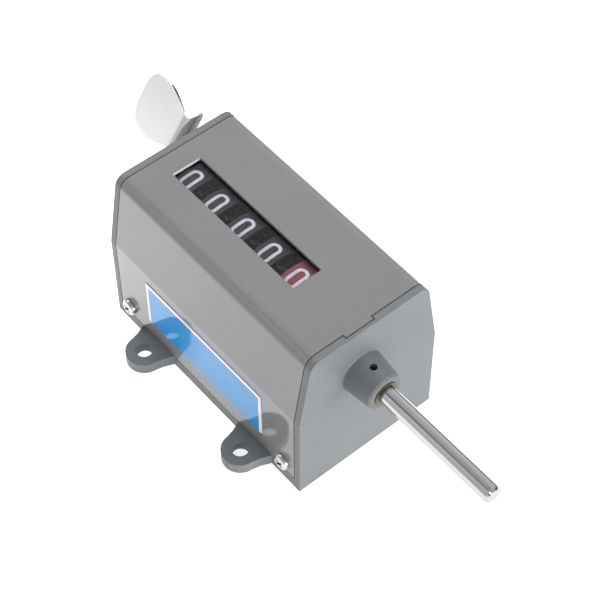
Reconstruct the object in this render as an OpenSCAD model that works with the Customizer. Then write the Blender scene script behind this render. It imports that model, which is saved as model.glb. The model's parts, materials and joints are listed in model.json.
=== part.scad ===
// Mechanical revolution counter with a one-arm reset key.
// X runs along the drive shaft (shaft end at +X), the nameplate side faces -Y,
// Z is up. The origin is the centre of the foot-hole pattern, on the mounting face.

/* [Body] */
// Length over the two end plates
body_l = 92; // [88:0.5:100]
// Width of the upright lower sides
body_w = 53.4; // [52:0.2:60]
// Width across the top, to the unrounded corners
top_w = 44.4; // [43:0.2:50]
// Height of the body above the mounting face
body_h = 61.6; // [61:0.1:66]
// Height at which the sides start to lean in
break_z = 35; // [28:0.5:38]
// Radius of the two top corners
corner_r = 4; // [2:0.5:5]
// Thickness of the exposed rim of each end plate
rim_t = 2.35; // [2:0.05:3]
// Full thickness of each end plate
plate_t = 5; // [4.5:0.1:6]
// Thickness of the base plate
base_t = 4.35; // [4:0.05:5]

/* [Feet] */
// Hole spacing of the feet along the body
foot_dx = 49; // [40:0.5:56]
// Hole spacing of the feet across the body
foot_dy = 65; // [64:0.5:72]
// Radius of the rounded end of a foot
foot_r = 6.1; // [5:0.1:7]
// Thickness of a foot
foot_t = 4.25; // [3.5:0.05:4.3]
// Diameter of a foot hole
foot_hole_d = 5.5; // [4.5:0.1:6.5]

/* [Cover] */
// Thickness of the folded cover sheet
cover_t = 1.0; // [0.8:0.1:1.2]
// Length of the window opening
window_l = 57.2; // [52:0.2:58]
// Width of the window opening
window_w = 10.6; // [9:0.2:12]
// Position of the window's centre along the body
window_x = -7.15; // [-8:0.05:-6]
// Position of the window's centre across the body
window_y = -3.0; // [-4:0.1:-2]
// Width of the locating tab at the front edge
tab_w = 10.4; // [8:0.2:12]
// Reach of the locating tab
tab_reach = 1.25; // [1:0.05:1.5]
// Thickness of the clear window
lens_t = 0.6; // [0.5:0.1:0.7]

/* [Nameplate] */
// Length of the nameplate
plate_l = 56.4; // [50:0.2:60]
// Height of the nameplate
plate_h = 19; // [16:0.2:20]
// Thickness of the nameplate
plate_th = 0.3; // [0.2:0.05:0.5]

/* [Shafts] */
// Position of the shaft line across the body
axis_y = -3.0; // [-3.4:0.1:-2.2]
// Height of the shaft line
axis_z = 42.6; // [42.2:0.1:42.8]
// Diameter of the drive shaft
shaft_d = 6; // [5.5:0.1:6.5]
// Length of the drive shaft outside the front plate
shaft_out = 56; // [30:0.5:80]
// Length of the shaft boss on the front plate
boss_len = 10.7; // [8:0.1:14]
// Diameter of the boss at the plate
boss_base_d = 14.8; // [14:0.1:16]
// Diameter of the boss at its mouth
boss_mouth_d = 12.8; // [12:0.1:13.5]
// Outer diameter of the bronze bush
bush_d = 8.3; // [7.8:0.1:9]
// Diameter of the oil hole in the boss
oil_d = 2.4; // [1.6:0.1:3]

/* [Number wheels] */
// Outer diameter of a number wheel
wheel_d = 34; // [33:0.2:34.4]
// Width of the numbered band
band_w = 7.8; // [7:0.1:8.2]
// Distance from one wheel to the next
wheel_pitch = 12.5; // [12.4:0.05:12.6]
// Position of the middle wheel along the body
wheel_x = -7.15; // [-7.4:0.05:-7]
// Diameter of the wheel shaft
axle_d = 5; // [4.6:0.1:5.2]

/* [Reset key] */
// Swing of the key's arm away from upright, as photographed
key_angle = 35.5; // [0:0.5:90]
// Thickness of the key's sheet
key_t = 1.0; // [0.8:0.1:1.4]
// Distance from the shaft line to the middle of the thumb tab
key_reach = 17.5; // [16:0.1:20]
// Widest half-width of the thumb tab
tab_half_w = 9.85; // [8:0.05:11]
// Length of the thumb tab along the sheet, with the bend
tab_len = 26.4; // [22:0.1:28]
// Lean of the thumb tab over the arm
tab_lean = 10; // [0:0.1:15]

/* [Hidden] */
$fn = 64;

hl = body_l / 2;                    // outer face of an end plate
lean_k = (body_w - top_w) / 2 / (body_h - break_z);
lean_s = sqrt(1 + lean_k * lean_k);
in_face = hl - plate_t;             // inner face of an end plate
shaft_end = hl + shaft_out;
bush_end = hl + boss_len + 0.4;      // outer end of the drive bush
seam = 0.3;                         // gap round the cover
screw_x = 38.5;                     // cover screws
screw_z = 8.6;
lug_x = 34.5;
gear_a = 19.6;                      // wheel shaft to pinion shaft
gear_m = gear_a / 14;               // 20 and 8 teeth
pin_ang = -30;                      // direction of the pinion shaft, from +Y towards +Z
pin_y = axis_y + gear_a * cos(pin_ang);
pin_z = axis_z + gear_a * sin(pin_ang);
pin_r = 1.5;
axle_r = axle_d / 2;
hub_r = 4.6;
rear_boss_x = -hl - 1.8;
key_x = -hl - 3.0;                  // inner face of the key's arm
hubx = 26.2;                        // inner face of the drive hub's flange

// ---- helpers ----

// A 2-D profile given in (y, z), extruded from x0 to x1
module yz(x0, x1) {
    translate([x0, 0, 0]) rotate([90, 0, 90]) linear_extrude(height = x1 - x0) children();
}

// Body outline in (y, z), set in by s all round, from z0 up
module outline(s, z0) {
    hb = body_w / 2 - s;
    zb = break_z - s * (lean_s - 1) / lean_k;
    zt = body_h - s;
    ht = body_w / 2 - (zt - break_z) * lean_k - s * lean_s;
    r = max(corner_r - s, 0.5);
    t = r / tan((90 + atan(lean_k)) / 2);
    union() {
        polygon([[-hb, z0], [hb, z0], [hb, zb], [ht + lean_k * t / lean_s, zt - t / lean_s],
                 [ht - t, zt], [-(ht - t), zt], [-(ht + lean_k * t / lean_s), zt - t / lean_s], [-hb, zb]]);
        for (m = [-1, 1]) translate([m * (ht - t), zt - r]) circle(r = r);
    }
}

// A cylinder along X on the shaft line
module xc(x0, x1, r, y = axis_y, z = axis_z) {
    translate([x0, y, z]) rotate([0, 90, 0]) cylinder(h = x1 - x0, r = r);
}

// A ring along X on the shaft line
module xr(x0, x1, ro, ri, y = axis_y, z = axis_z) {
    difference() {
        xc(x0, x1, ro, y, z);
        xc(x0 - 1, x1 + 1, ri, y, z);
    }
}

// A solid of revolution about the shaft line, profile in (radius, x)
module turned(pts, y = axis_y, z = axis_z) {
    translate([0, y, z]) rotate([0, 90, 0]) rotate_extrude() polygon(pts);
}

// Gear outline in (y, z) with n teeth, one of them centred on angle a0.
// r is the pitch radius; the teeth are a little thin, as cast gears are.
module gear2(n, r, a0, rb) {
    m = gear_m;
    union() {
        circle(r = r - m);
        for (k = [0 : n - 1]) rotate(a0 + k * 360 / n)
            polygon([[rb, -0.80 * m], [r - m, -0.85 * m], [r, -0.62 * m], [r + 0.78 * m, -0.30 * m],
                     [r + 0.78 * m, 0.30 * m], [r, 0.62 * m], [r - m, 0.85 * m], [rb, 0.80 * m]]);
    }
}

// ---- body ----

// One foot in plan, pointing to -Y, centred on its hole
module foot2() {
    reach = foot_dy / 2 - body_w / 2 + 1;
    difference() {
        union() {
            circle(r = foot_r);
            // flanks that flare out towards the body
            polygon([[-foot_r * 0.86, -foot_r * 0.42], [-foot_r * 1.035, 0.6], [-foot_r * 1.10, 2.4], [-foot_r * 1.21, 4.0],
                     [-foot_r * 1.40, reach], [foot_r * 1.40, reach],
                     [foot_r * 1.21, 4.0], [foot_r * 1.10, 2.4], [foot_r * 1.035, 0.6], [foot_r * 0.86, -foot_r * 0.42]]);
        }
        circle(d = foot_hole_d);
    }
}

module frame() {
    color([0.45, 0.47, 0.46]) difference() {
        union() {
            // base plate
            translate([-hl, -body_w / 2, 0]) cube([body_l, body_w, base_t]);
            // end plates: exposed rim outside, a step inside that locates the cover
            yz(-hl, -hl + rim_t) outline(0, 0);
            yz(hl - rim_t, hl) outline(0, 0);
            yz(-hl + rim_t - 0.2, -in_face) outline(cover_t + 0.08, base_t - 0.2);
            yz(in_face, hl - rim_t + 0.2) outline(cover_t + 0.08, base_t - 0.2);
            // four feet
            for (sx = [-1, 1]) for (sy = [-1, 1])
                translate([sx * foot_dx / 2, sy * foot_dy / 2, 0]) rotate(sy < 0 ? 0 : 180)
                    linear_extrude(height = foot_t) foot2();
            // shaft boss with a small fillet at its root, and a low boss for the reset shaft
            turned(concat([[0, hl - 1], [boss_base_d / 2 + 0.5, hl - 1]],
                [for (i = [0 : 5]) let (u = i * 18) [boss_base_d / 2 + 0.5 - 0.5 * sin(u), hl + 0.5 - 0.5 * cos(u)]],
                [[boss_mouth_d / 2 + 0.05, hl + boss_len - 0.7], [boss_mouth_d / 2 - 0.35, hl + boss_len], [0, hl + boss_len]]));
            turned([[0, rear_boss_x], [7.2, rear_boss_x], [7.6, -hl + 0.5], [0, -hl + 0.5]]);
            // lugs for the cover screws
            for (sx = [-1, 1]) for (sy = [-1, 1])
                translate([sx > 0 ? lug_x : -in_face - 0.5, sy > 0 ? 17.5 : -(body_w / 2 - cover_t - 0.1), base_t - 0.2])
                    cube([in_face + 0.5 - lug_x, body_w / 2 - cover_t - 0.1 - 17.5, 9.4]);
            // ledge for the detent spring
            translate([-in_face - 0.5, -21.5, 29]) cube([4.5, 7, 6.45]);
        }
        // seats of the two bushes
        xc(in_face - 2, shaft_end, bush_d / 2);
        xc(-hl - 5, -in_face + 2, 4.5);
        // oil hole in the top of the boss
        translate([hl + 5, axis_y, axis_z]) cylinder(h = 12, d = oil_d);
        // seats of the pinion shaft: through at the rear, blind at the front
        xc(-hl - 1, -in_face + 1, pin_r, pin_y, pin_z);
        xc(in_face - 1, in_face + 3, pin_r, pin_y, pin_z);
        // tapped holes for the cover screws
        for (sx = [-1, 1]) for (sy = [-1, 1])
            translate([sx * screw_x, sy * 27, screw_z]) rotate([sy * 90, 0, 0]) cylinder(h = 11, r = 1.25);
        // tapped hole for the detent screw
        translate([-38.9, -18, 30]) cylinder(h = 8, r = 0.8);
        // notch for the cover's tab
        translate([hl - rim_t - 0.1, window_y - tab_w / 2 - seam, body_h - cover_t - 0.05])
            cube([tab_reach + 0.1, tab_w + 2 * seam, cover_t + 1]);
    }
}

module cover() {
    cx = hl - rim_t - seam;
    color([0.55, 0.54, 0.52]) difference() {
        union() {
            difference() {
                yz(-cx, cx) outline(0, base_t + 0.2);
                yz(-cx - 1, cx + 1) outline(cover_t, base_t - 1);
            }
            translate([cx - 1, window_y - tab_w / 2, body_h - cover_t]) cube([1 + tab_reach, tab_w, cover_t]);
        }
        // window
        translate([window_x - window_l / 2, window_y - window_w / 2, body_h - 3]) cube([window_l, window_w, 6]);
        // clearance holes for the screws
        for (sx = [-1, 1]) translate([sx * screw_x, -body_w, screw_z]) rotate([-90, 0, 0]) cylinder(h = 2 * body_w, r = 1.65);
    }
}

module window_lens() {
    color([0.85, 0.88, 0.9, 0.3])
        translate([window_x - window_l / 2 - 2, window_y - window_w / 2 - 2, body_h - cover_t - lens_t])
            cube([window_l + 4, window_w + 4, lens_t]);
}

module nameplate() {
    color([0.16, 0.42, 0.72])
        translate([-plate_l / 2, -body_w / 2 - plate_th, 11.8]) cube([plate_l, plate_th, plate_h]);
}

// Pan-head screw with a cross recess, head outwards along +Z, seat at z = 0
module pan_screw(r, h, shank, len, core) {
    difference() {
        union() {
            rotate_extrude() polygon(concat([[0, 0], [r, 0], [r, h * 0.38]],
                [for (i = [1 : 5]) let (u = i * 18) [r * (0.62 + 0.38 * cos(u)) , h * (0.38 + 0.62 * sin(u))]], [[0, h]]));
            translate([0, 0, -1.05]) cylinder(h = 1.1, r = shank);
            translate([0, 0, -len]) cylinder(h = len, r = core);
        }
        for (a = [45, 135]) rotate(a) translate([-0.55 * r, -0.13 * r, h * 0.35]) cube([1.1 * r, 0.26 * r, h]);
    }
}

module cover_screws() {
    color([0.82, 0.82, 0.80]) for (sx = [-1, 1]) for (sy = [-1, 1])
        translate([sx * screw_x, sy * body_w / 2, screw_z]) rotate([sy > 0 ? -90 : 90, 0, 0])
            pan_screw(2.9, 1.9, 1.5, 8, 1.25);
}

// ---- drive shaft group ----

module drive_bush() {
    color([0.72, 0.55, 0.33]) difference() {
        xr(in_face - 0.8, bush_end, bush_d / 2, shaft_d / 2 + 0.05);
        translate([hl + 5, axis_y, axis_z]) cylinder(h = 12, r = 1.0);
    }
}

module rear_bush() {
    color([0.72, 0.55, 0.33]) xr(rear_boss_x - 0.1, -in_face + 0.2, 4.5, axle_r + 0.05);
}

module drive_shaft() {
    r = shaft_d / 2;
    x0 = 24.7;
    color([0.80, 0.80, 0.80]) difference() {
        turned([[1.55, x0], [r - 0.3, x0], [r, x0 + 0.3], [r, 38.7], [2.6, 38.7], [2.6, 39.5], [r, 39.5],
                [r, bush_end - 0.8], [r - 0.2, bush_end - 0.7], [r - 0.2, bush_end + 0.1], [r, bush_end + 0.1],
                [r, shaft_end - 0.6], [r - 0.6, shaft_end], [0, shaft_end], [0, x0 + 6.5], [1.55, x0 + 6]]);
        translate([32, axis_y, axis_z - 10]) cylinder(h = 20, r = 1.0);
    }
}

module thrust_washer() {
    color([0.7, 0.7, 0.68]) xr(39.5, in_face - 0.85, 5.3, shaft_d / 2 + 0.15);
}

module snap_ring() {
    color([0.4, 0.4, 0.42]) difference() {
        xr(38.75, 39.45, 4.6, 2.62);
        translate([38, axis_y - 1.2, axis_z - 6]) cube([2, 2.4, 6]);
    }
}

module cup_spring() {
    color([0.5, 0.5, 0.52]) turned([[3.3, 38.3], [3.3, 38.7], [6.2, 36.9], [6.2, 36.5]]);
}

module drive_hub() {
    color([0.66, 0.66, 0.64]) difference() {
        union() {
            xc(hubx, hubx + 2, 12);
            xc(hubx + 1, 36.45, 6.5);
        }
        xc(hubx - 1, 40, shaft_d / 2 + 0.02);
        // cross slot that lets the spring press the hub along the shaft
        translate([32, axis_y, axis_z - 10]) cylinder(h = 20, r = 1.05);
        translate([31.4, axis_y, axis_z - 10]) cylinder(h = 20, r = 1.05);
        translate([31.4, axis_y - 1.05, axis_z - 10]) cube([0.6, 2.1, 20]);
    }
}

module hub_pin() {
    color([0.6, 0.6, 0.6]) translate([32, axis_y, axis_z - 6.3]) cylinder(h = 12.6, r = 1.0);
}

module clutch_disc() {
    color([0.35, 0.22, 0.15]) xr(24.65, hubx - 0.02, 11.5, shaft_d / 2 + 0.3);
}

// ---- wheel train ----

module wheel_shaft() {
    r = axle_r;
    xk = key_x - key_t;
    color([0.78, 0.78, 0.78]) difference() {
        turned([[0, 29.6], [1.3, 29.6], [1.5, 29.3], [1.5, 24.0], [r, 24.0],
                [r, xk], [1.9, xk], [1.9, xk - 3.6], [1.5, xk - 4.0], [0, xk - 4.0]]);
        // groove that picks up the pawls when the shaft is turned
        translate([-36, axis_y - 0.6, axis_z + r - 0.8]) cube([57, 1.2, 2]);
        // two flats that carry the key
        translate([xk - 0.01, axis_y, axis_z]) rotate([-key_angle, 0, 0])
            for (z = [-6.8, 1.8]) translate([0, -5, z]) cube([key_t + 0.01, 10, 5]);
    }
}

// Number wheel at position k (-2 at the rear, +2 at the front)
module wheel(k, gear, xfer, front) {
    x0 = wheel_x + k * wheel_pitch;
    rw = wheel_d / 2;
    difference() {
        union() {
            // numbered rim, web and hub
            xr(x0 - band_w / 2, x0 + band_w / 2, rw, rw - 1.8);
            xc(x0 - 1, x0 + 1, rw - 1.5);
            xc(x0 - 6.2, x0 + 6.2, hub_r);
            // ring of 20 teeth that the pinion turns
            if (gear) yz(x0 + band_w / 2 - 0.1, x0 + 6.05) translate([axis_y, axis_z]) gear2(20, 10 * gear_m, pin_ang, 10.5);
            if (gear) xc(x0 + 0.8, x0 + band_w / 2 + 0.1, 12.2);
            // drum that holds the pawl, with two teeth that turn the next pinion
            xc(x0 - 6.15, x0 - 0.8, 11);
            if (xfer) yz(x0 - 6.15, x0 - band_w / 2) translate([axis_y, axis_z])
                for (s = [-1, 1]) rotate(pin_ang + 180 + s * 9)
                    polygon([[10.5, -1.3], [12.2, -0.85], [12.6, -0.5], [12.6, 0.5], [12.2, 0.85], [10.5, 1.3]]);
            // friction face for the clutch
            if (front) xc(x0 + 0.8, 24.6, 11.5);
        }
        xc(x0 - 10, x0 + 10, axle_r + 0.05);
        // hollow of the drum
        xr(x0 - 7, x0 - 1, 9.0, hub_r);
        if (gear) xr(x0 + 1, x0 + 7, 9.5, hub_r);
        if (front) xr(x0 + 1, x0 + 7, 8.5, hub_r);
        // slot in the hub for the pawl's finger
        translate([x0 - 7, axis_y - 0.8, axis_z]) cube([6, 1.6, 6]);
    }
}

// Spring pawl of one wheel
module pawl(k) {
    x0 = wheel_x + k * wheel_pitch - 4.2;
    color([0.75, 0.75, 0.7]) union() {
        yz(x0, x0 + 1.6) translate([axis_y, axis_z]) difference() {
            circle(r = 8.95);
            circle(r = 8.5);
            polygon([[0, 0], [-1.2, 12], [-12, 8]]);
        }
        translate([x0, axis_y - 0.5, axis_z + axle_r + 0.15]) cube([1.6, 1.0, 6.2]);
    }
}

// Pinion between two wheels: eight teeth on one side, four of them long
module pinion(k) {
    x0 = wheel_x + k * wheel_pitch;
    x1 = x0 + band_w / 2 + 0.1;
    x2 = x0 + wheel_pitch - band_w / 2 - 0.1;
    color([0.72, 0.6, 0.35]) difference() {
        union() {
            yz(x1, x0 + 6.15) translate([pin_y, pin_z]) gear2(8, 4 * gear_m, pin_ang + 180 + 22.5, 2.5);
            yz(x0 + 6.1, x2) translate([pin_y, pin_z]) gear2(4, 4 * gear_m, pin_ang + 180 + 22.5, 2.5);
        }
        xc(x0, x0 + 12, pin_r + 0.05, pin_y, pin_z);
    }
}

module pinion_shaft() {
    color([0.78, 0.78, 0.78]) xc(-hl, in_face + 2.9, pin_r, pin_y, pin_z);
}

module home_cam() {
    color([0.6, 0.6, 0.6]) difference() {
        xc(-40.6, -38.6, 6.5);
        xc(-42, -37, axle_r);
        translate([-42, axis_y, axis_z - 6.7]) rotate([45, 0, 0]) translate([0, -0.95, -0.95]) cube([5, 1.9, 1.9]);
    }
}

module detent_spring() {
    color([0.55, 0.56, 0.6]) difference() {
        union() {
            translate([-40.8, -21.2, 35.45]) cube([3.8, 6.4, 0.4]);
            translate([-40.8, -15.2, 35.45]) cube([2.15, 15.4, 0.4]);
            translate([-40.4, axis_y, 35.85]) rotate([45, 0, 0]) translate([0, -0.62, -0.62]) cube([1.6, 1.24, 1.24]);
        }
        translate([-38.9, -18, 30]) cylinder(h = 8, r = 1.1);
        translate([-42, -22, 33.45]) cube([8, 24, 2]);
    }
}

module detent_screw() {
    color([0.8, 0.8, 0.78]) translate([-38.9, -18, 35.85]) difference() {
        union() {
            rotate_extrude() polygon([[0, 0], [1.7, 0], [1.7, 0.8], [1.4, 1.15], [0, 1.25]]);
            translate([0, 0, -5]) cylinder(h = 5.1, r = 0.8);
        }
        translate([-2.5, -0.25, 0.6]) cube([5, 0.5, 2]);
    }
}

// ---- reset key ----
// Local axes of the key: first across the arm, second out along the arm,
// third towards the body. The thumb tab is bent away from the body.

bend_r = 2.94;                        // middle radius of the bend
bend_p = 1.06;                        // where the bend starts, across the arm
bend_a = 90 + tab_lean;               // turned angle of the bend
bend_s = bend_r * bend_a * PI / 180;  // length of the bend
neck_w = 3.8;                         // half-width at the arm
wide_s = 16.8;                        // distance to the widest place of the tab
// half-width of the tab at distance s from the start of the bend
function ease(u) = u * u * (3 - 2 * u);
function tab_w(s) = s < wide_s ? neck_w + (tab_half_w - neck_w) * pow(ease(max(s, 0) / wide_s), 0.52)
    : tab_half_w * pow(max(0, 1 - pow((s - wide_s) / (tab_len - wide_s), 3.1)), 1 / 3.1);
// extra width of the outer edge, where it runs over into the arm's head
function head_w(s) = 4.4 * exp(-pow((s + 1.8) / 3.5, 4));

module reset_key() {
    zc = -key_t / 2 - bend_r;
    n = 16;
    m = 18;
    ss = concat([bend_s - 0.6], [for (i = [0 : n]) bend_s + (wide_s - bend_s) * i / n],
                [for (i = [1 : m]) wide_s + (tab_len - wide_s) * sin(90 * i / m)]);
    bs = [for (i = [-1 : 13]) bend_s * i / 12];
    // place along the bend's chord
    function bc(s) = -bend_r * sin(s / bend_s * bend_a - bend_a / 2) * (s < 0 || s > bend_s ? 1.4 : 1);
    color([0.86, 0.86, 0.85])
    translate([key_x, axis_y, axis_z]) rotate([90, 0, 90]) rotate([0, 0, -key_angle])
    difference() {
        union() {
            // arm up to the bend
            translate([0, 0, -key_t]) linear_extrude(height = key_t) union() {
                circle(r = 5.6);
                polygon([[-2.9, 0], [-2.9, key_reach - neck_w - 2.4], [-2.5, key_reach - neck_w - 1.5], [-1.6, key_reach - neck_w - 0.9],
                         [bend_p, key_reach - neck_w - 0.5], [2.9, key_reach - neck_w - 0.5], [2.9, 0]]);
            }
            // sheet bent to shape, trimmed to the outline of the head, the bend and the thumb tab
            intersection() {
                rotate([90, 0, 0]) translate([0, 0, -40]) linear_extrude(height = 60) union() {
                    translate([bend_p, -key_t]) square([4, key_t]);
                    intersection() {
                        translate([bend_p, zc]) difference() {
                            circle(r = bend_r + key_t / 2);
                            circle(r = bend_r - key_t / 2);
                        }
                        translate([bend_p, zc]) polygon([[0, 0], [0, 8], [-8, 8], [-8, 8 * tan(bend_a - 90) * -1]]);
                    }
                    translate([bend_p, zc]) rotate(bend_a) translate([-0.0, bend_r - key_t / 2]) mirror([1, 0]) square([tab_len, key_t]);
                }
                union() {
                    translate([0, 0, -key_t - 0.5]) linear_extrude(height = key_t + 1)
                        polygon(concat([[bend_p - 0.3, key_reach - neck_w - 0.6]],
                                       [for (i = [-1 : 4]) let (s = -1.24 * i / 4) [bend_p - s, key_reach + neck_w + head_w(s)]],
                                       [[2.62, key_reach + 7.85], [2.83, key_reach + 7.4], [2.9, key_reach + 6.8], [2.9, key_reach - neck_w - 0.6]]));
                    translate([bend_p, key_reach, zc]) rotate([0, -bend_a / 2, 0]) linear_extrude(height = 8)
                        polygon(concat([for (s = bs) [bc(s), tab_w(s) + head_w(s)]],
                                       [for (i = [len(bs) - 1 : -1 : 0]) [bc(bs[i]), -tab_w(bs[i])]]));
                    translate([bend_p, key_reach, zc]) rotate([0, -bend_a, 0])
                        translate([0, 0, bend_r - key_t]) linear_extrude(height = 2 * key_t) translate([bend_s, 0])
                            polygon(concat([for (s = ss) [-s, tab_w(s) + head_w(s)]], [for (i = [len(ss) - 2 : -1 : 0]) [-ss[i], -tab_w(ss[i])]]));
                }
            }
        }
        // hole with two flats that fits the shaft
        translate([0, 0, -key_t - 1]) linear_extrude(height = key_t + 2) intersection() {
            circle(r = axle_r + 0.02);
            square([8, 3.64], center = true);
        }
    }
}

module key_washer() {
    color([0.8, 0.8, 0.78]) xr(key_x + 0.02, rear_boss_x - 0.12, 5.0, axle_r + 0.03);
}

module key_nut() {
    color([0.8, 0.8, 0.78]) difference() {
        xc(key_x - key_t - 2.65, key_x - key_t - 0.02, 3.9);
        xc(key_x - 12, key_x, 1.9);
        // six flats
        for (a = [0 : 60 : 300]) translate([key_x - key_t - 4, axis_y, axis_z]) rotate([a, 0, 0]) translate([0, 3.45, -4]) cube([5, 3, 8]);
    }
}

frame();
cover();
window_lens();
nameplate();
cover_screws();
drive_bush();
rear_bush();
drive_shaft();
thrust_washer();
snap_ring();
cup_spring();
drive_hub();
hub_pin();
clutch_disc();
wheel_shaft();
color([0.62, 0.13, 0.13]) wheel(2, false, true, true);  // wheel_tenths
color([0.1, 0.1, 0.1]) wheel(1, true, true, false);  // wheel_units
color([0.1, 0.1, 0.1]) wheel(0, true, true, false);  // wheel_tens
color([0.1, 0.1, 0.1]) wheel(-1, true, true, false);  // wheel_hundreds
color([0.1, 0.1, 0.1]) wheel(-2, true, false, false);  // wheel_thousands
pawl(2);  // pawl_tenths
pawl(1);  // pawl_units
pawl(0);  // pawl_tens
pawl(-1);  // pawl_hundreds
pawl(-2);  // pawl_thousands
pinion(1);  // pinion_units
pinion(0);  // pinion_tens
pinion(-1);  // pinion_hundreds
pinion(-2);  // pinion_thousands
pinion_shaft();
home_cam();
detent_spring();
detent_screw();
reset_key();
key_washer();
key_nut();
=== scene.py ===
import bpy, bmesh, json, math
from mathutils import Vector, Matrix


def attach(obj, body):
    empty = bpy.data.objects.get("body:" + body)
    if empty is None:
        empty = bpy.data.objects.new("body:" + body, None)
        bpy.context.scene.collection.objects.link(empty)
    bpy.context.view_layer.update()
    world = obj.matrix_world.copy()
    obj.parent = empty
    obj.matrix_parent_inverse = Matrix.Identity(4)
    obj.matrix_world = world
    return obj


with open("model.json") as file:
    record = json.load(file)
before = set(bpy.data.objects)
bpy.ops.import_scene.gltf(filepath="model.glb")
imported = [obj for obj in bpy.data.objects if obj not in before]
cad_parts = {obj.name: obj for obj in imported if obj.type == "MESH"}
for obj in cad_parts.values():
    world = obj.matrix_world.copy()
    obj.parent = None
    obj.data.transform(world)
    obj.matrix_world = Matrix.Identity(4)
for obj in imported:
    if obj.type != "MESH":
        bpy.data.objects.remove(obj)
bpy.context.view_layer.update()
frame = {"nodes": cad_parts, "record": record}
N = frame["nodes"]
scene = bpy.context.scene
MM = 0.001

AY, AZ = -3.0, 42.6            # shaft line, mm
WHEEL_R = 17.0
WHEELS = {"tenths": 17.85, "units": 5.35, "tens": -7.15, "hundreds": -19.65, "thousands": -32.15}


# ---------------------------------------------------------------- materials

class Mat:
    """A material with a principled shader and short helpers for its nodes."""

    def __init__(self, name):
        self.m = bpy.data.materials.new(name)
        self.m.use_nodes = True
        self.t = self.m.node_tree
        self.t.nodes.clear()
        self.out = self.t.nodes.new("ShaderNodeOutputMaterial")
        self.b = self.t.nodes.new("ShaderNodeBsdfPrincipled")
        self.t.links.new(self.b.outputs[0], self.out.inputs[0])
        self.co = self.t.nodes.new("ShaderNodeTexCoord").outputs["Object"]

    def set(self, **kw):
        for k, v in kw.items():
            s = self.b.inputs[k.replace("_", " ")]
            s.default_value = (*v, 1.0) if isinstance(v, tuple) and len(v) == 3 and s.type == "RGBA" else v
        return self

    def link(self, a, b):
        self.t.links.new(a, b)

    def new(self, kind, **inputs):
        n = self.t.nodes.new("ShaderNode" + kind)
        for k, v in inputs.items():
            k = k.replace("_", " ")
            if hasattr(v, "is_linked") or isinstance(v, bpy.types.NodeSocket):
                self.link(v, n.inputs[k])
            else:
                n.inputs[k].default_value = v
        return n

    def stretch(self, sx, sy, sz):
        n = self.new("Mapping", Vector=self.co, Scale=(sx, sy, sz))
        return n.outputs[0]

    def noise(self, scale, detail=3.0, rough=0.5, vec=None):
        n = self.new("TexNoise", Vector=vec if vec is not None else self.co, Scale=scale, Detail=detail, Roughness=rough)
        return n.outputs["Fac"]

    def ramp(self, fac, stops):
        n = self.t.nodes.new("ShaderNodeValToRGB")
        self.link(fac, n.inputs[0])
        e = n.color_ramp.elements
        while len(e) > 1:
            e.remove(e[-1])
        e[0].position, c = stops[0]
        e[0].color = (*c, 1)
        for p, c in stops[1:]:
            x = e.new(p)
            x.color = (*c, 1)
        return n.outputs[0]

    def math(self, op, a, b=0.0, clamp=False):
        n = self.t.nodes.new("ShaderNodeMath")
        n.operation = op
        n.use_clamp = clamp
        for i, v in enumerate((a, b)):
            if isinstance(v, bpy.types.NodeSocket):
                self.link(v, n.inputs[i])
            else:
                n.inputs[i].default_value = v
        return n.outputs[0]

    def mix(self, fac, a, b):
        n = self.t.nodes.new("ShaderNodeMix")
        n.data_type = "RGBA"
        for i, v in ((0, fac), (6, a), (7, b)):
            if isinstance(v, bpy.types.NodeSocket):
                self.link(v, n.inputs[i])
            else:
                n.inputs[i].default_value = (*v, 1) if i else v
        return n.outputs[2]

    def remap(self, fac, lo, hi):
        n = self.t.nodes.new("ShaderNodeMapRange")
        self.link(fac, n.inputs[0])
        n.inputs["To Min"].default_value = lo
        n.inputs["To Max"].default_value = hi
        return n.outputs[0]

    def relief(self, layers, edge=0.0):
        """layers: (height socket, strength, distance in m). edge: radius in m that softens the sharp edges."""
        normal = None
        if edge:
            n = self.t.nodes.new("ShaderNodeBevel")
            n.samples = 6
            n.inputs["Radius"].default_value = edge
            normal = n.outputs[0]
        for h, strength, dist in layers:
            n = self.t.nodes.new("ShaderNodeBump")
            n.inputs["Strength"].default_value = strength
            n.inputs["Distance"].default_value = dist
            self.link(h, n.inputs["Height"])
            if normal is not None:
                self.link(normal, n.inputs["Normal"])
            normal = n.outputs[0]
        if normal is not None:
            self.link(normal, self.b.inputs["Normal"])
        return self


def paint(name, colour, rough, grain, edge, spread=0.04, coat=0.0, coat_rough=0.1):
    """Sprayed paint: a little orange peel, faint mottling, sharp edges softened in the shading."""
    m = Mat(name)
    m.set(Roughness=rough, Coat_Weight=coat, Coat_Roughness=coat_rough, Coat_IOR=1.55, IOR=1.4)
    m.set(Specular_IOR_Level=0.5 * (1 - coat))
    broad = m.noise(35, 4)
    fine = m.noise(900, 2)
    d = tuple(c * (1 - spread) for c in colour)
    l = tuple(min(1, c * (1 + spread)) for c in colour)
    base = m.ramp(broad, [(0.3, d), (0.7, l)])
    speck = m.ramp(fine, [(0.35, (0.90, 0.90, 0.90)), (0.6, (1, 1, 1))])
    n = m.t.nodes.new("ShaderNodeMix")
    n.data_type, n.blend_type = "RGBA", "MULTIPLY"
    n.inputs[0].default_value = 0.3
    m.link(base, n.inputs[6])
    m.link(speck, n.inputs[7])
    m.link(n.outputs[2], m.b.inputs["Base Color"])
    m.link(m.remap(m.noise(160, 3), rough * 0.85, rough * 1.15), m.b.inputs["Roughness"])
    m.relief([(m.noise(grain, 2, 0.4), 0.25, 0.00004), (fine, 0.12, 0.00002)], edge)
    return m.m


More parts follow.
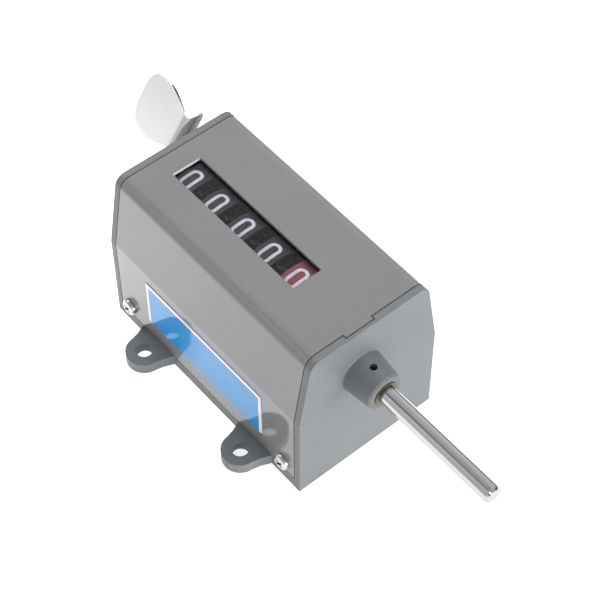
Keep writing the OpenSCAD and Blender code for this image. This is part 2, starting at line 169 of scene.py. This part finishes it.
def painted_highlight_edge(mat, x, y, half, z):
    """Painted highlight at one cut end of the window: the paint is made brighter within 0.12 mm of the plane x, where
    the cut face catches the light, all in mm.
    """
    t = mat.node_tree
    b = next(n for n in t.nodes if n.type == "BSDF_PRINCIPLED")
    painted = b.inputs["Base Color"].links[0].from_socket
    sep = t.nodes.new("ShaderNodeSeparateXYZ")
    t.links.new(next(n for n in t.nodes if n.type == "TEX_COORD").outputs["Object"], sep.inputs[0])
    mask = None
    for out, mid, reach in ((0, x, 0.12), (1, y, half), (2, z, 0.9)):
        c = t.nodes.new("ShaderNodeMath")
        c.operation = "COMPARE"
        t.links.new(sep.outputs[out], c.inputs[0])
        c.inputs[1].default_value, c.inputs[2].default_value = mid * MM, reach * MM
        if mask is None:
            mask = c.outputs[0]
        else:
            k = t.nodes.new("ShaderNodeMath")
            k.operation = "MULTIPLY"
            t.links.new(mask, k.inputs[0])
            t.links.new(c.outputs[0], k.inputs[1])
            mask = k.outputs[0]
    mix = t.nodes.new("ShaderNodeMix")
    mix.data_type = "RGBA"
    t.links.new(mask, mix.inputs[0])
    t.links.new(painted, mix.inputs[6])
    mix.inputs[7].default_value = (0.62, 0.62, 0.62, 1)
    t.links.new(mix.outputs[2], b.inputs["Base Color"])


def metal(name, colour, rough, scale=(1, 1, 1), lines=0.0, wave=0.0, edge=0.00015, stain=0.06):
    """Metal with fine tool lines along one direction, uneven gloss and faint stains."""
    m = Mat(name)
    m.set(Metallic=1.0)
    broad = m.noise(60, 4)
    base = m.ramp(broad, [(0.3, tuple(c * (1 - stain) for c in colour)), (0.7, colour)])
    m.link(base, m.b.inputs["Base Color"])
    drawn = m.noise(900, 3, 0.6, m.stretch(*scale))
    m.link(m.remap(m.noise(220, 4), rough * 0.75, rough * 1.3), m.b.inputs["Roughness"])
    layers = []
    if wave:
        layers.append((m.noise(26, 1), wave, 0.0012))
    if lines:
        layers.append((drawn, lines, 0.00002))
    m.relief(layers, edge)
    return m.m


def ground(name, colour, rough):
    """Ground bar stock: gloss that varies round the bar and hardly along it."""
    m = Mat(name)
    m.set(Metallic=1.0)
    m.link(m.ramp(m.noise(40, 2), [(0.3, tuple(c * 0.95 for c in colour)), (0.7, colour)]), m.b.inputs["Base Color"])
    m.link(m.remap(m.noise(700, 2, 0.5, m.stretch(0.01, 1, 1)), rough * 0.85, rough * 1.15), m.b.inputs["Roughness"])
    return m.m


def plastic(name, colour, rough, edge=0.00015, coat=0.0, spread=0.1):
    m = Mat(name)
    m.set(Roughness=rough, Coat_Weight=coat, Coat_Roughness=0.25)
    n = m.noise(180, 4)
    m.link(m.ramp(n, [(0.3, tuple(c * (1 - spread) for c in colour)), (0.7, tuple(min(1, c * (1 + spread)) for c in colour))]), m.b.inputs["Base Color"])
    m.link(m.remap(m.noise(500, 3), rough * 0.8, rough * 1.2), m.b.inputs["Roughness"])
    m.relief([(m.noise(1500, 2), 0.15, 0.00002)], edge)
    return m.m


def window_glass(name):
    """Clear plastic sheet seen straight through, with a surface reflection and the faintest haze."""
    m = Mat(name)
    m.set(Base_Color=(0.9, 0.92, 0.94), Roughness=0.06)
    clear = m.t.nodes.new("ShaderNodeBsdfTransparent")
    clear.inputs[0].default_value = (0.97, 0.975, 0.98, 1)
    fres = m.new("Fresnel", IOR=1.26)
    haze = m.remap(m.noise(90, 4), 0.002, 0.008)
    fac = m.math("ADD", fres.outputs[0], haze, True)
    mixer = m.t.nodes.new("ShaderNodeMixShader")
    m.link(fac, mixer.inputs[0])
    m.link(clear.outputs[0], mixer.inputs[1])
    gloss = m.t.nodes.new("ShaderNodeBsdfAnisotropic")
    gloss.inputs["Roughness"].default_value = 0.08
    m.link(gloss.outputs[0], mixer.inputs[2])
    m.link(mixer.outputs[0], m.out.inputs[0])
    return m.m


def plate_print(name):
    """Blue plate with a white border, printed on aluminium."""
    m = Mat(name)
    sep = m.new("SeparateXYZ", Vector=m.co)
    x, z = sep.outputs[0], sep.outputs[2]

    def inside(v, lo, hi):
        a = m.math("GREATER_THAN", v, lo * MM)
        b = m.math("LESS_THAN", v, hi * MM)
        return m.math("MULTIPLY", a, b)

    def rect(x0, x1, z0, z1):
        return m.math("MULTIPLY", inside(x, x0, x1), inside(z, z0, z1))

    field = rect(-27.15, 27.15, 11.0, 29.5)
    blue = m.ramp(m.noise(140, 4), [(0.3, (0.007, 0.225, 0.54)), (0.7, (0.010, 0.255, 0.60))])
    white = m.ramp(m.noise(200, 3), [(0.3, (0.72, 0.74, 0.78)), (0.7, (0.80, 0.82, 0.85))])
    m.link(m.mix(field, white, blue), m.b.inputs["Base Color"])
    m.set(Metallic=0.0, Coat_Weight=1.0, Coat_Roughness=0.06, Coat_IOR=1.33, Specular_IOR_Level=0.1)
    m.link(m.remap(m.noise(260, 3), 0.4, 0.55), m.b.inputs["Roughness"])
    m.relief([(m.noise(900, 2), 0.06, 0.00002)], 0.0001)
    return m.m


def ink(name, colour):
    m = Mat(name)
    m.set(Roughness=0.5)
    m.link(m.ramp(m.noise(420, 4, 0.6), [(0.32, tuple(c * 0.78 for c in colour)), (0.6, colour)]), m.b.inputs["Base Color"])
    m.relief([(m.noise(2200, 2), 0.2, 0.00002)], 0.0)
    return m.m


M = {
    "cover_paint": paint("cover_paint_v", (0.201, 0.200, 0.203), 0.5, 420, 0.0004, coat=1.0, coat_rough=0.07),
    "frame_paint": paint("frame_paint_v", (0.154, 0.164, 0.169), 0.55, 650, 0.0005, coat=0.15, coat_rough=0.4),
    "screw_steel": metal("screw_steel_v", (0.62, 0.61, 0.60), 0.22, (1, 1, 1), 0.10, 0.0),
    "bronze": metal("bronze_v", (0.19, 0.15, 0.11), 0.30, (1, 1, 1), 0.30, 0.0, stain=0.35),
    "shaft_steel": ground("shaft_steel_v", (0.52, 0.52, 0.515), 0.12),
    "plain_steel": metal("plain_steel_v", (0.70, 0.70, 0.69), 0.30, (4, 0.3, 0.3), 0.2, 0.0),
    "spring_steel": metal("spring_steel_v", (0.52, 0.53, 0.55), 0.32, (0.4, 3, 3), 0.2, 0.0),
    "key_chrome": metal("key_chrome_v", (0.93, 0.92, 0.905), 0.08, (1, 1, 1), 0.02, 0.10),
    "friction_fibre": plastic("fibre_v", (0.20, 0.12, 0.07), 0.8),
    "wheel_black": plastic("wheel_black_v", (0.018, 0.0140, 0.0205), 0.55, spread=0.05),
    "wheel_red": plastic("wheel_red_v", (0.26, 0.045, 0.06), 0.55, spread=0.06),
    "pinion_plastic": plastic("pinion_v", (0.62, 0.60, 0.52), 0.45),
    "clear_window": window_glass("clear_window_v"),
    "plate_blue": plate_print("plate_blue_v"),
    "ink": ink("numeral_white_v", (0.82, 0.80, 0.90)),
}

# painted highlight: the cover paint lightened on the window's cut end, standing in for the light it catches
painted_highlight_edge(M["cover_paint"], -35.72, -3.0, 5.25, 61.5)

SLOT = {s["node"]: s["material_slot"] for s in frame["record"]["subparts"]}
for node, o in N.items():
    o.data.materials.clear()
    o.data.materials.append(M[SLOT[node]])


# ---------------------------------------------------------------- numerals

def arc(cx, cy, r, a0, a1, n=10):
    """Points on an arc, angles in degrees, 0 = +x, anticlockwise."""
    return [(cx + r * math.cos(math.radians(a0 + (a1 - a0) * i / n)),
             cy + r * math.sin(math.radians(a0 + (a1 - a0) * i / n))) for i in range(n + 1)]


GW, GH, GS = 4.6, 8.6, 1.1     # outside width, outside height and stroke of a numeral, mm
W2, H2 = (GW - GS) / 2, (GH - GS) / 2
R1 = 1.70                        # corner radius of the stroke's middle line


def glyph(d):
    """Middle lines of the strokes of numeral d, each (points, closed)."""
    w, h, r = W2, H2, R1
    if d == 0:
        return [(arc(w - r, h - r, r, 0, 90) + arc(-w + r, h - r, r, 90, 180)
                 + arc(-w + r, -h + r, r, 180, 270) + arc(w - r, -h + r, r, 270, 360), True)]
    if d == 1:
        return [([(-1.1, h - 1.3), (0.15, h), (0.15, -h + 1.2)], False)]
    if d == 2:
        return [(arc(-w + r, h - r, r, 165, 90)[:] + arc(w - r, h - r, r, 90, 0) + arc(w - r - 0.1, 0.9, r, -5, -45)
                 + [(-w, -h + 0.25), (-w, -h), (w, -h)], False)]
    if d == 3:
        return [(arc(-w + r, h - r, r, 160, 90) + arc(w - r, h - r, r, 90, 0) + arc(w - r, 0.2 + r, r, 0, -75), False),
                ([(-0.5, 0.2), (w - r, 0.2)], False),
                (arc(w - r, 0.2 - r, r, 80, 0) + arc(w - r, -h + r, r, 0, -90) + arc(-w + r, -h + r, r, -90, -160), False)]
    if d == 4:
        return [([(0.75, -h), (0.75, h), (-w, -1.1), (-w, -1.2), (w, -1.2)], False)]
    if d == 5:
        return [([(w - 0.2, h), (-w + 0.15, h), (-w, 0.55)] + arc(w - r, 0.75 - r, r, 90, 0)
                 + arc(w - r, -h + r, r, 0, -90) + arc(-w + r, -h + r, r, -90, -160), False)]
    if d == 6:
        return [(arc(w - r, h - r, r, 25, 90) + arc(-w + r, h - r, r, 90, 180) + arc(-w + r, -h + r, r, 180, 270)
                 + arc(w - r, -h + r, r, -90, 0) + arc(w - r, 0.6 - r, r, 0, 90) + [(-w + 0.2, 0.6)], False)]
    if d == 7:
        return [([(-w, h), (w, h), (w, h - 0.5), (-0.55, -0.6), (-0.7, -h)], False)]
    if d == 8:
        q = 1.2
        return [(arc(w - 0.15 - q, h - q, q, 0, 90) + arc(-w + 0.15 + q, h - q, q, 90, 180)
                 + arc(-w + 0.15 + q, 0.25 + q, q, 180, 270) + arc(w - 0.15 - q, 0.25 + q, q, 270, 360), True),
                (arc(w - q, 0.25 - q, q, 0, 90) + arc(-w + q, 0.25 - q, q, 90, 180)
                 + arc(-w + q, -h + q, q, 180, 270) + arc(w - q, -h + q, q, 270, 360), True)]
    return [(arc(-w + r, -h + r, r, 205, 270) + arc(w - r, -h + r, r, -90, 0) + arc(w - r, h - r, r, 0, 90)
             + arc(-w + r, h - r, r, 90, 180) + arc(-w + r, -0.6 + r, r, 180, 270) + [(w - 0.2, -0.6)], False)]


def resample(points, closed, step=0.3):
    pts = [Vector(p) for p in points]
    out = []
    for p in pts:
        if not out or (p - out[-1]).length > 1e-4:
            out.append(p)
    if closed and (out[0] - out[-1]).length < 1e-4:
        out.pop()
    fine = []
    m = len(out)
    for i in range(m if closed else m - 1):
        a, b = out[i], out[(i + 1) % m]
        n = max(1, int(math.ceil((b - a).length / step)))
        for k in range(n):
            fine.append(a.lerp(b, k / n))
    if not closed:
        fine.append(out[-1])
    return fine


def ribbon(bm, points, closed, half, to3d, top, base):
    """A flat stroke of width 2 * half along the middle line, standing from base to top on the wheel's rim."""
    p = resample(points, closed)
    m = len(p)
    rows = []
    for i in range(m):
        a = p[i - 1] if (closed or i > 0) else p[i]
        b = p[(i + 1) % m] if (closed or i < m - 1) else p[i]
        d0 = (p[i] - a).normalized() if (p[i] - a).length > 1e-6 else (b - p[i]).normalized()
        d1 = (b - p[i]).normalized() if (b - p[i]).length > 1e-6 else d0
        t = (d0 + d1).normalized()
        n = Vector((-t.y, t.x))
        k = 1.0 / max(0.72, n.dot(Vector((-d0.y, d0.x))))
        l, r = p[i] + n * half * k, p[i] - n * half * k
        edge = 0.09
        rows.append([bm.verts.new(to3d(l, base)), bm.verts.new(to3d(l, top - 0.02)),
                     bm.verts.new(to3d(p[i] + n * (half - edge) * k, top)), bm.verts.new(to3d(p[i] - n * (half - edge) * k, top)),
                     bm.verts.new(to3d(r, top - 0.02)), bm.verts.new(to3d(r, base))])
    for i in range(m if closed else m - 1):
        a, b = rows[i], rows[(i + 1) % m]
        for k in range(5):
            bm.faces.new((a[k], a[k + 1], b[k + 1], b[k]))
    if not closed:
        for row, flip in ((rows[0], False), (rows[-1], True)):
            bm.faces.new(row if flip else row[::-1])


def numerals(name, body, xc):
    """The ten numerals of one wheel. Zero stands a little short of the top, towards the reader."""
    bm = bmesh.new()
    for d in range(10):
        a0 = math.radians(86 + 36 * d)

        def to3d(q, h, a0=a0):
            r = WHEEL_R + h
            a = a0 + q.y / WHEEL_R
            return Vector(((xc + q.x) * MM, (AY - r * math.cos(a)) * MM, (AZ + r * math.sin(a)) * MM))

        for pts, closed in glyph(d):
            ribbon(bm, pts, closed, GS / 2, to3d, 0.05, -0.06)
    bmesh.ops.recalc_face_normals(bm, faces=bm.faces)
    me = bpy.data.meshes.new(name)
    bm.to_mesh(me)
    bm.free()
    for f in me.polygons:
        f.use_smooth = False
    o = bpy.data.objects.new(name, me)
    scene.collection.objects.link(o)
    me.materials.append(M["ink"])
    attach(o, body)
    return o


for body, x in WHEELS.items():
    numerals("numerals_" + body, body, x)


# ---------------------------------------------------------------- floor, light, camera

TABLE, BOOST = 0.75, 0.58         # glow of the light table, and its stronger part


def floor():
    bm = bmesh.new()
    n, size = 48, 3.0
    for i in range(n + 1):
        for j in range(n + 1):
            bm.verts.new(((i / n - 0.5) * 2 * size, (j / n - 0.5) * 2 * size, -0.00002))
    bm.verts.ensure_lookup_table()
    for i in range(n):
        for j in range(n):
            a = i * (n + 1) + j
            bm.faces.new((bm.verts[a], bm.verts[a + n + 1], bm.verts[a + n + 2], bm.verts[a + 1]))
    me = bpy.data.meshes.new("floor")
    bm.to_mesh(me)
    bm.free()
    o = bpy.data.objects.new("floor", me)
    scene.collection.objects.link(o)
    m = Mat("floor_v")
    m.set(Roughness=0.75, IOR=1.3)
    m.link(m.ramp(m.noise(30, 3), [(0.3, (0.78, 0.78, 0.78)), (0.7, (0.82, 0.82, 0.82))]), m.b.inputs["Base Color"])
    # a light table: even under the object, stronger towards its far left, fading out beyond it
    near = m.new("VectorMath", Vector=m.co)
    near.operation = "DISTANCE"
    near.inputs[1].default_value = (-0.115, -0.075, 0.0)
    boost = m.new("MapRange")
    boost.interpolation_type = "SMOOTHERSTEP"
    m.link(near.outputs["Value"], boost.inputs[0])
    for k, v in (("From Min", 0.0), ("From Max", 0.16), ("To Min", BOOST), ("To Max", 0.0)):
        boost.inputs[k].default_value = v
    far = m.new("VectorMath", Vector=m.co)
    far.operation = "LENGTH"
    fade = m.new("MapRange")
    fade.interpolation_type = "SMOOTHERSTEP"
    m.link(far.outputs["Value"], fade.inputs[0])
    for k, v in (("From Min", 0.17), ("From Max", 0.33), ("To Min", 1.0), ("To Max", 0.06)):
        fade.inputs[k].default_value = v
    side = m.new("SeparateXYZ", Vector=m.co)
    end = m.new("MapRange")
    m.link(side.outputs[1], end.inputs[0])
    for k, v in (("From Min", -0.20), ("From Max", 0.05), ("To Min", 0.28), ("To Max", 0.04)):
        end.inputs[k].default_value = v
    m.link(end.outputs[0], fade.inputs["To Max"])
    # weaker under the drive shaft
    front = m.new("MapRange")
    m.link(side.outputs[0], front.inputs[0])
    for k, v in (("From Min", 0.02), ("From Max", 0.09), ("To Min", TABLE), ("To Max", 0.52)):
        front.inputs[k].default_value = v
    lit = m.math("ADD", boost.outputs[0], front.outputs[0])
    m.link(m.math("MULTIPLY", lit, fade.outputs[0]), m.b.inputs["Emission Strength"])
    m.b.inputs["Emission Color"].default_value = (1, 1, 1, 1)
    me.materials.append(m.m)
    return o


floor()


def area(name, loc, target, sx, sy, power, colour=(1, 1, 1)):
    l = bpy.data.lights.new(name, "AREA")
    l.shape, l.size, l.size_y, l.energy, l.color = "RECTANGLE", sx, sy, power, colour
    o = bpy.data.objects.new(name, l)
    o.location = loc
    o.rotation_euler = (Vector(target) - Vector(loc)).to_track_quat("-Z", "Y").to_euler()
    scene.collection.objects.link(o)
    return o


c = (0.0, 0.0, 0.03)
area("top_soft", (0.05, 0.62, 1.05), c, 0.55, 0.55, 5.9)
area("left_high", (-0.97, 0.05, 0.80), c, 0.45, 0.45, 8.8)
area("front_soft", (1.12, 0.05, 0.16), c, 0.7, 0.30, 12.2)
area("left_card", (-0.92, -0.84, 0.07), (-0.08, 0.0, 0.07), 0.55, 0.26, 0.11)

world = bpy.data.worlds.new("studio")
scene.world = world
world.use_nodes = True
wt = world.node_tree
wt.nodes.clear()
wo = wt.nodes.new("ShaderNodeOutputWorld")
wb = wt.nodes.new("ShaderNodeBackground")
wc = wt.nodes.new("ShaderNodeTexCoord")
ws = wt.nodes.new("ShaderNodeSeparateXYZ")
wr = wt.nodes.new("ShaderNodeValToRGB")
wt.links.new(wc.outputs["Generated"], ws.inputs[0])
wt.links.new(ws.outputs[2], wr.inputs[0])
e = wr.color_ramp.elements
e[0].position, e[0].color = 0.0, (0.02, 0.02, 0.02, 1)
e[1].position, e[1].color = 1.0, (0.40, 0.40, 0.41, 1)
for at, v in ((0.15, 0.03), (0.24, 0.42), (0.40, 0.56)):
    x = e.new(at)
    x.color = (v, v, v * 1.01, 1)
# no dark gap above the horizon on the near side
near_side = wt.nodes.new("ShaderNodeMapRange")
wt.links.new(ws.outputs[1], near_side.inputs[0])
for k, v in (("From Min", -0.62), ("From Max", -0.42), ("To Min", 1.0), ("To Max", 0.0)):
    near_side.inputs[k].default_value = v
fill = wt.nodes.new("ShaderNodeMix")
fill.data_type = "RGBA"
fill.blend_type = "LIGHTEN"
wt.links.new(near_side.outputs[0], fill.inputs[0])
wt.links.new(wr.outputs[0], fill.inputs[6])
fill.inputs[7].default_value = (0.75, 0.75, 0.755, 1)
# a dark flag high up on the left: the dark line along the shaft
flag = wt.nodes.new("ShaderNodeVectorMath")
flag.operation = "DOT_PRODUCT"
wt.links.new(wc.outputs["Generated"], flag.inputs[0])
flag.inputs[1].default_value = (-0.468, -0.390, 0.793)
dim = wt.nodes.new("ShaderNodeMapRange")
dim.interpolation_type = "SMOOTHSTEP"
wt.links.new(flag.outputs["Value"], dim.inputs[0])
for k, v in (("From Min", 0.982), ("From Max", 0.998), ("To Min", 1.0), ("To Max", 0.25)):
    dim.inputs[k].default_value = v
tilt = wt.nodes.new("ShaderNodeMapRange")
wt.links.new(ws.outputs[1], tilt.inputs[0])
for k, v in (("From Min", -1.0), ("From Max", 1.0), ("To Min", 0.7), ("To Max", 1.3)):
    tilt.inputs[k].default_value = v
wm = wt.nodes.new("ShaderNodeVectorMath")
wm.operation = "SCALE"
wt.links.new(fill.outputs[2], wm.inputs[0])
# a brighter arch from the near side over the top to the far side
arch_off = wt.nodes.new("ShaderNodeMath")
arch_off.operation = "ADD"
wt.links.new(ws.outputs[0], arch_off.inputs[0])
arch_off.inputs[1].default_value = 0.468
arch_abs = wt.nodes.new("ShaderNodeMath")
arch_abs.operation = "ABSOLUTE"
wt.links.new(arch_off.outputs[0], arch_abs.inputs[0])
arch_gain = wt.nodes.new("ShaderNodeMapRange")
arch_gain.interpolation_type = "SMOOTHSTEP"
wt.links.new(arch_abs.outputs[0], arch_gain.inputs[0])
for k, v in (("From Min", 0.09), ("From Max", 0.20), ("To Min", 1.42), ("To Max", 1.0)):
    arch_gain.inputs[k].default_value = v
both = wt.nodes.new("ShaderNodeMath")
both.operation = "MULTIPLY"
wt.links.new(tilt.outputs[0], both.inputs[0])
wt.links.new(dim.outputs[0], both.inputs[1])
arched = wt.nodes.new("ShaderNodeMath")
arched.operation = "MULTIPLY"
wt.links.new(both.outputs[0], arched.inputs[0])
wt.links.new(arch_gain.outputs[0], arched.inputs[1])
wt.links.new(arched.outputs[0], wm.inputs["Scale"])
wt.links.new(wm.outputs[0], wb.inputs[0])
wb.inputs[1].default_value = 1.0
wt.links.new(wb.outputs[0], wo.inputs[0])

scene.view_settings.view_transform = "Standard"
scene.view_settings.exposure = 0.0

cam = bpy.data.cameras.new("camera")
co = bpy.data.objects.new("camera", cam)
scene.collection.objects.link(co)
scene.camera = co
cam.sensor_width = 36.0
cam.lens = 110.711
cam.clip_start, cam.clip_end = 0.01, 20
right = Vector((0.641712718, 0.766942355, -0.002052084))
up = Vector((-0.607365677, 0.509822561, 0.609251911))
fwd = Vector((-0.468307294, 0.389718334, -0.792974084))
co.matrix_world = Matrix((
    (right.x, up.x, -fwd.x, 0.27432081),
    (right.y, up.y, -fwd.y, -0.21626456),
    (right.z, up.z, -fwd.z, 0.48215469),
    (0, 0, 0, 1)))
